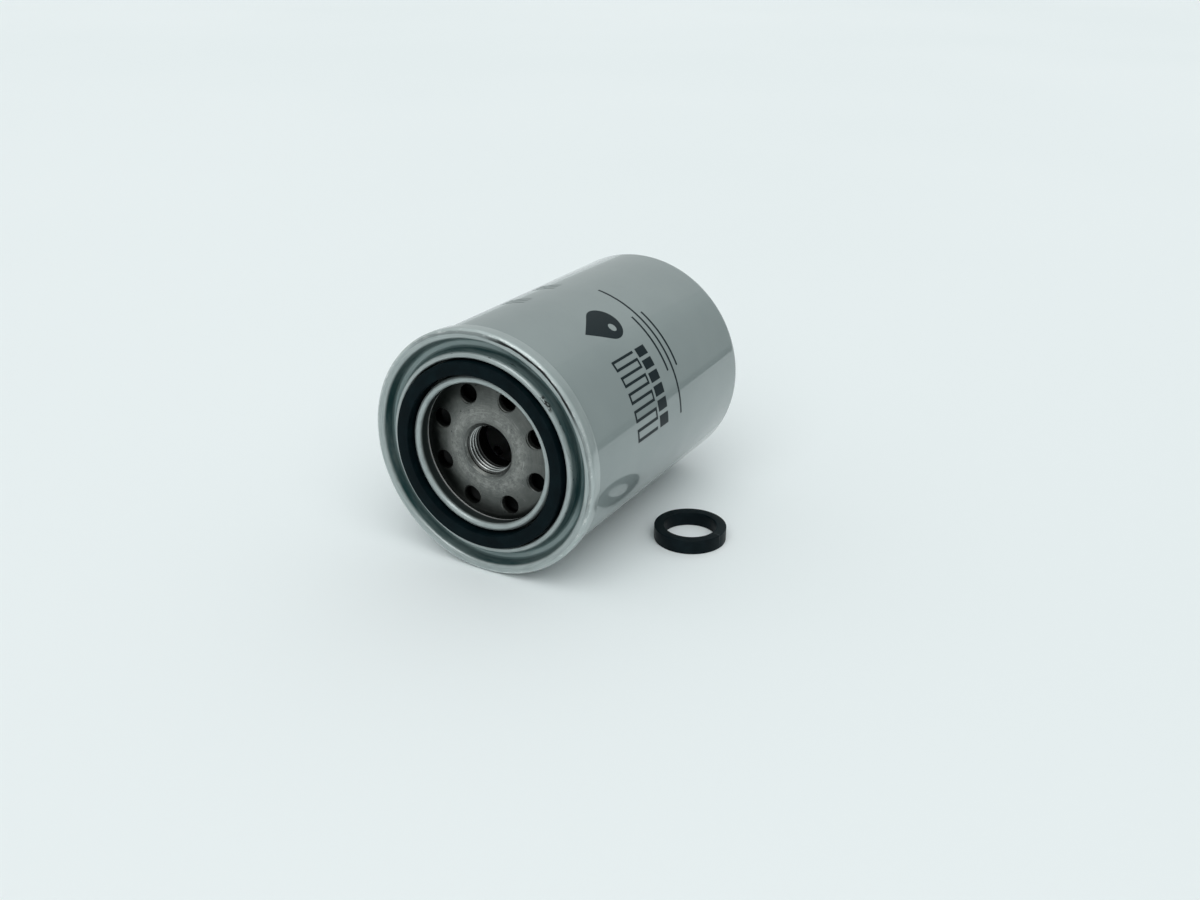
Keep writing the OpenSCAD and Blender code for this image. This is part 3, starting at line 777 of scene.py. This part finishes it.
def make_springs():
    """Makes both springs, each with a mesh of its own, the valve spring riding on the element."""
    rear, front, seat, cage = -115.5, -100.5, -98.18, -82.4
    wide = {"coil_r": 17, "wire_r": 1.25, "low": rear, "high": front, "turns": 3.5}
    narrow = {"coil_r": 5.5, "wire_r": 0.5, "low": seat, "high": cage, "turns": 7}
    element = make_spring("element_spring", "support_spring", "spring_steel", "housing", **wide)
    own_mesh(element)
    valve = make_spring("valve_spring", "bypass_spring", "spring_steel", "element", **narrow)
    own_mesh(valve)


def make_valve():
    """The rubber drain-back valve: washer, sleeve and flap with its lip, in one piece."""
    hole_r, washer_r, sleeve_in_r, sleeve_out_r, lip_r = 10.65, 16.4, 13.08, 14.75, 27.18
    back, front, lip_front = -12.95, -6.03, -3.86
    outline = rounded_loop(
        [
            (hole_r, back, 0.2),
            (washer_r, back, 0.3),
            (washer_r, -12.08, 0.3),
            (sleeve_out_r, -12.08, 0.1),
            (sleeve_out_r, -10.25, 0.4),
            (26.2, -4.85, 0.3),
            (lip_r, -4.5, 0.3),
            (lip_r, lip_front, 0.3),
            (25.8, lip_front, 0.2),
            (sleeve_out_r, -9.0, 0.5),
            (sleeve_out_r, front, 0.4),
            (sleeve_in_r, front, 0.3),
            (sleeve_in_r, -12.06),
            (hole_r, -12.06, 0.2),
        ],
        4,
    )
    piece = lathe("flap_valve", outline, 128, None)
    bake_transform(piece)
    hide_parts("drainback_valve")
    wear(piece, "valve_rubber")


def wrapped(bm, outer, angle, holes=()):
    """Wraps a flat outline on the can as a thin solid. Points are (across, along) the print's middle, mm."""
    flat = bmesh.new()
    edges = []
    for loop in [outer, *holes]:
        ring = [flat.verts.new((x, y, 0)) for x, y in loop]
        edges += [flat.edges.new((a, b)) for a, b in zip(ring, ring[1:] + ring[:1])]
    bmesh.ops.triangle_fill(flat, use_beauty=True, edges=edges)
    x = math.ceil(min(x for x, _ in outer))
    while x < max(x for x, _ in outer):
        geometry = flat.verts[:] + flat.edges[:] + flat.faces[:]
        bmesh.ops.bisect_plane(flat, geom=geometry, plane_co=(x + 0.013, 0, 0), plane_no=(1, 0, 0))
        x += 1
    middle = PRINT_START + PRINT_H / 2 - RIM_Z
    skins = []
    for r in (CAN_R + INK_TOP, CAN_R + INK_BOTTOM):
        skin = {}
        for v in flat.verts:
            turn = math.radians(angle) + math.asin(v.co.x / CAN_R)
            skin[v] = bm.verts.new(Vector((r * math.cos(turn), middle - v.co.y, r * math.sin(turn))) * MM)
        skins.append(skin)
    for f in flat.faces:
        bm.faces.new([skins[0][v] for v in f.verts])
        bm.faces.new([skins[1][v] for v in reversed(f.verts)])
    for e in flat.edges:
        if e.is_boundary:
            a, b = e.verts
            bm.faces.new([skins[0][a], skins[0][b], skins[1][b], skins[1][a]])
    flat.free()


def bar(x, y, w, h):
    return [(x, y), (x + w, y), (x + w, y + h), (x, y + h)]


def pleat_sign(left, low, w, h, folds, line):
    """Pleated paper drawn as one folded line."""
    step = (w - line) / (2 * folds - 1)
    levels = [(i + k) % 2 * (h - line) for i in range(2 * folds) for k in (0, 1)]
    path = [(left + line / 2 + n // 2 * step, low + line / 2 + level) for n, level in enumerate(levels)]
    return shifted(path, -line / 2)[1] + shifted(path, line / 2)[1][::-1]


def make_print():
    """The CAD's plain artwork: pleats, a row of blocks, an oil drop and three lines, then two batch marks."""
    line, space, folds, blocks = 1.0, 1.4, 5, 6
    left, top = -PRINT_W / 2, PRINT_H / 2
    sign_w, sign_h, block_h = 0.52 * PRINT_W, 0.41 * PRINT_H, 0.17 * PRINT_H
    bm = bmesh.new()
    wrapped(bm, pleat_sign(left, top - sign_h, sign_w, sign_h, folds, line), PRINT_ANGLE)
    pitch = (sign_w + space) / blocks
    for i in range(blocks):
        low = top - sign_h - space - block_h
        wrapped(bm, bar(left + i * pitch, low, pitch - space, block_h), PRINT_ANGLE)
    r = 0.19 * PRINT_H
    across, up = sign_w / 2, top - 2 * r
    outline = arc(across, up, r, 150, 390, 28) + [(across, up + 2 * r)]
    shine = arc(across - r / 3, up - r / 6, r / 4, 0, 337.5, 15)
    wrapped(bm, outline, PRINT_ANGLE, [shine])
    for i, share in enumerate((0.43, 1.0, 0.43)):
        w = PRINT_W * share
        wrapped(bm, bar(-w / 2, i * 0.095 * PRINT_H - top, w, line), PRINT_ANGLE)
    for level in (11, -10):
        for i in (-1, 0, 1):
            wrapped(bm, bar(-5, level + i * 2.4, 10, 0.7), BATCH_ANGLE)
    bmesh.ops.recalc_face_normals(bm, faces=bm.faces)
    piece = finished("side_mark", bm, "housing")
    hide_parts("side_print")
    wear(piece, "print_ink")


# ---------------------------------------------------------------- stage, light and camera

FLOOR_SIZE = 12
SIDE_WALL_FROM = (0.69, -0.64, -0.34)
OPENING_FROM = (0.4555, -0.792, 0.4067)
SUN_STRENGTH = 1.75
SUN_SPREAD = 70
SUN_FROM = (0.36, -0.64, 0.9)
CAMERA_AT = (0.2350, -0.3291, 0.1792)
CAMERA_AZIMUTH = 29.91
CAMERA_ELEVATION = 23.99
CAMERA_ROLL = 0.25
CAMERA_LENS = 37.01


def make_camera():
    a, e, roll = (math.radians(v) for v in (CAMERA_AZIMUTH, CAMERA_ELEVATION, CAMERA_ROLL))
    back = Vector((math.sin(a) * math.cos(e), -math.cos(a) * math.cos(e), math.sin(e)))
    level = Vector((math.cos(a), math.sin(a), 0))
    up = back.cross(level)
    right = level * math.cos(roll) + up * math.sin(roll)
    top = up * math.cos(roll) - level * math.sin(roll)
    data = bpy.data.cameras.new("camera")
    data.lens, data.sensor_width = CAMERA_LENS, 36
    data.clip_start, data.clip_end = 0.01, 50
    camera = bpy.data.objects.new("camera", data)
    turn = Matrix((right, top, back)).transposed().to_4x4()
    camera.matrix_world = Matrix.Translation(CAMERA_AT) @ turn
    bpy.context.scene.collection.objects.link(camera)
    bpy.context.scene.camera = camera


def make_floor():
    bm = bmesh.new()
    bmesh.ops.create_grid(bm, x_segments=8, y_segments=8, size=FLOOR_SIZE)
    bmesh.ops.translate(bm, verts=bm.verts, vec=(0, 0, FLOOR_Z * MM))
    floor = finished("floor", bm, None)
    s = Shader("pale_floor")
    colour = s.clouds(s.noise(900, 2), rgb(0.800, 0.866, 0.872), rgb(0.820, 0.882, 0.888))
    floor.data.materials.append(s.finish(Base_Color=colour, Roughness=0.75, Specular_IOR_Level=0.2))


def set_stops(node, first, last, between, redness):
    """Fills a colour ramp: two end stops as (place, colour), and cool greys between them as (place, tone)."""
    stops = node.color_ramp.elements
    stops[0].position, stops[0].color = first
    stops[1].position, stops[1].color = last
    for place, tone in between:
        stops.new(place).color = rgb(tone * redness, tone, tone)


def make_side_wall():
    """The studio's dim side wall, which only the gloss sees."""
    bm = bmesh.new()
    x, low, high, front, back = 0.244, FLOOR_Z * MM, 0.584, -1.0, 6.0
    corners = [(x, front, low), (x, back, low), (x, back, high), (x, front, high)]
    bm.faces.new([bm.verts.new(c) for c in corners])
    wall = finished("side_wall", bm, None)
    s = Shader("dim_wall")
    level = s.node("SeparateXYZ", {0: s.coord}).outputs["Z"]
    brightness = s.node("ValToRGB", {0: s.ramp(level, low, high, smooth=False)})
    between = ((0.035, 0.10), (0.06, 0.36), (0.40, 0.40), (0.75, 0.55), (0.95, 0.58))
    set_stops(brightness, (0.0, rgb(0.05, 0.07, 0.07)), (1.0, rgb(0.20, 0.23, 0.23)), between, 0.88)
    glow = s.node("Emission", {"Color": brightness.outputs["Color"]})
    s.put(s.tree.nodes["Material Output"], {"Surface": glow.outputs[0]})
    wall.data.materials.append(s.owner)
    wall.visible_camera = wall.visible_diffuse = wall.visible_shadow = False


def make_world():
    """A pale tent: what the camera sees, what lights the part, and what its gloss mirrors."""
    s = Shader("studio", world=True)
    bpy.context.scene.world = s.owner

    def facing(direction):
        """Cosine of the angle between a ray and a direction."""
        return s.node("VectorMath", {0: s.coord, 1: direction}, operation="DOT_PRODUCT").outputs["Value"]

    def background(colour, strength=1.0):
        return s.node("Background", {0: colour, 1: strength}).outputs[0]

    def choose(factor, a, b):
        return s.node("MixShader", {0: factor, 1: a, 2: b}).outputs[0]

    seen = background(rgb(0.760, 0.855, 0.855))
    # The dim side wall gives less light than the rest of the tent.
    light = background(rgb(0.965, 0.98, 0.985), s.ramp(facing(SIDE_WALL_FROM), -0.6, 0.8, 0.68, 0.30))
    # The gloss sees the tent brighten with height, and the tent's opening dark.
    sky = s.node("ValToRGB", {0: s.node("SeparateXYZ", {0: s.coord}).outputs["Z"]})
    between = ((0.10, 0.66), (0.24, 0.68), (0.36, 0.68), (0.60, 0.74), (0.85, 0.94))
    set_stops(sky, (0.02, rgb(0.64, 0.70, 0.70)), (1.0, rgb(0.90, 0.98, 0.98)), between, 0.92)
    gloss = background(sky.outputs["Color"], s.ramp(facing(OPENING_FROM), 0.80, 0.93, 0.92, 0.10))
    ray = s.node("LightPath").outputs
    shown = choose(ray["Is Camera Ray"], choose(ray["Is Glossy Ray"], light, gloss), seen)
    s.put(s.tree.nodes["World Output"], {"Surface": shown})


def make_sun():
    """One wide, soft light from above the camera."""
    sun = bpy.data.lights.new("softbox", "SUN")
    sun.energy, sun.angle = SUN_STRENGTH, math.radians(SUN_SPREAD)
    lamp = bpy.data.objects.new("softbox", sun)
    lamp.rotation_mode = "QUATERNION"
    lamp.rotation_quaternion = Vector(SUN_FROM).to_track_quat("Z", "Y")
    bpy.context.scene.collection.objects.link(lamp)


dress_cad_nodes()
make_can()
make_lid()
make_base_plate()
make_thread()
make_gasket()
make_stud_seal()
make_springs()
make_valve()
make_print()
make_camera()
make_floor()
make_side_wall()
make_world()
make_sun()
bpy.context.scene.view_settings.view_transform = "Standard"
